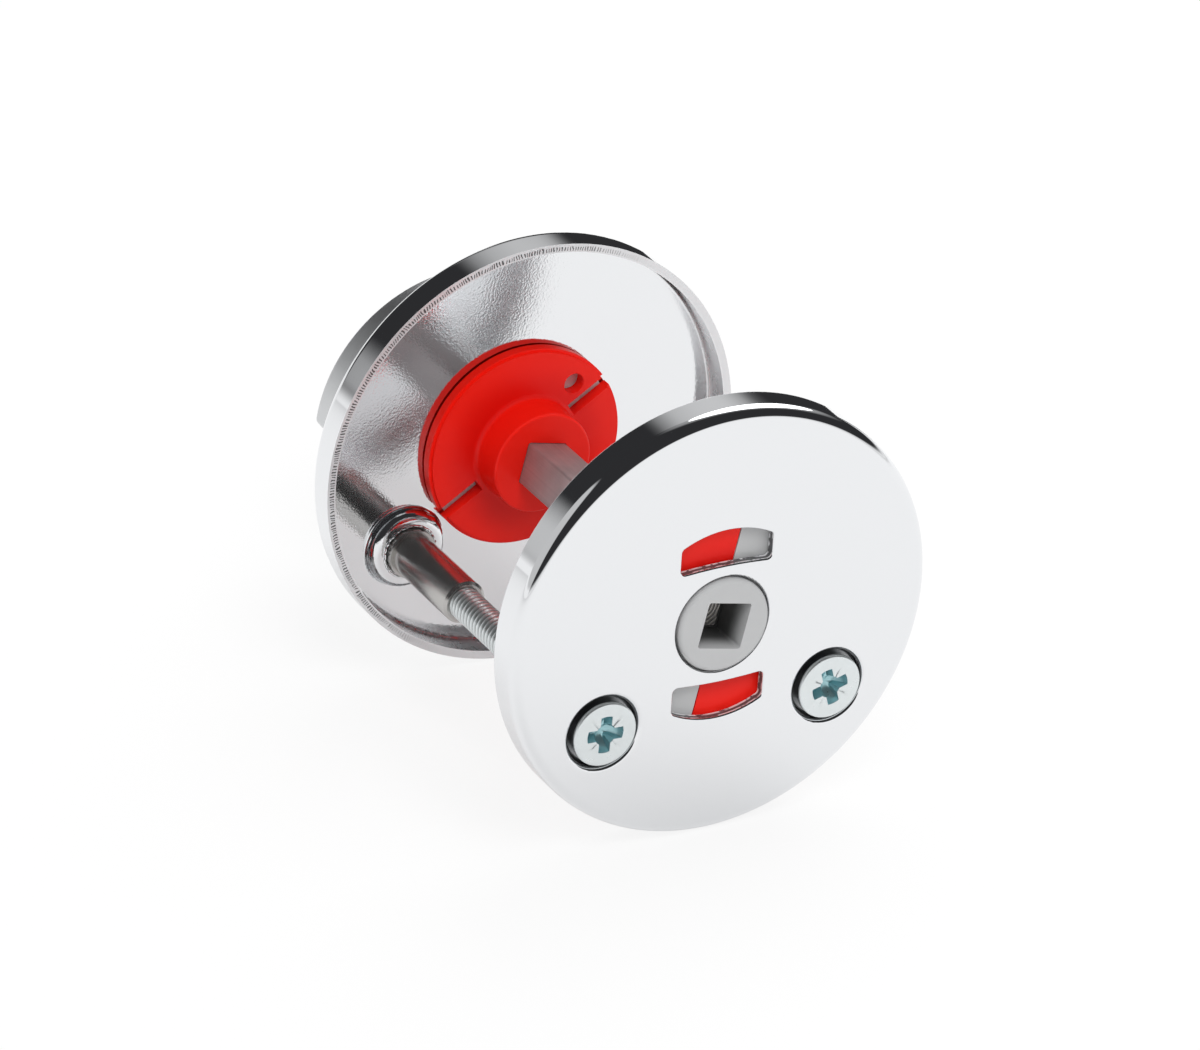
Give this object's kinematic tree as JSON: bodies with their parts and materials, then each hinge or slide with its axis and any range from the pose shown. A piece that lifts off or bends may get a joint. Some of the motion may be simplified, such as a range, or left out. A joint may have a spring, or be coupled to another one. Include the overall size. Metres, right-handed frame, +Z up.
{
  "type": "bathroom thumbturn with indicator",
  "caption": "Bathroom door thumbturn: pressed round rosettes on a square spindle, with an occupied indicator behind windows and a release socket outside and a turning knob inside.",
  "frame": {"origin": "on the spindle's axis, in the plane where the outer rosette's rim seats on the door", "axes": "+Y along the spindle from the outside of the door to the inside, +Z up, +X right as seen from outside"},
  "size_m": [0.052, 0.0751, 0.052],
  "materials": {
    "bright_chrome": "mirror-bright chrome on pressed steel",
    "grey_plastic": "light grey moulded plastic, satin",
    "red_plastic": "signal red moulded plastic, semi-gloss",
    "drawn_steel": "plain drawn steel, dull",
    "satin_chrome": "satin chrome on cast zinc",
    "zinc_plate": "bright zinc plate with a cool tint",
    "nickel_plate": "polished nickel plate"
  },
  "bodies": {
    "rosettes": {"outer_rosette": "bright_chrome", "inner_rosette": "bright_chrome", "fixing_screw_left": "zinc_plate", "fixing_screw_right": "zinc_plate", "sleeve_nut_left": "nickel_plate", "sleeve_nut_right": "nickel_plate"},
    "turning_set": {"thumbturn_knob": "satin_chrome", "spindle": "drawn_steel", "retaining_disc": "red_plastic", "indicator_hub": "grey_plastic", "indicator_disc": "red_plastic"}
  },
  "joints": [
    {"name": "thumbturn", "type": "hinge", "parent": "rosettes", "child": "turning_set", "pos_m": [0, 0, 0], "axis": [0, 1, 0], "range_deg": [-57, 33]}
  ]
}
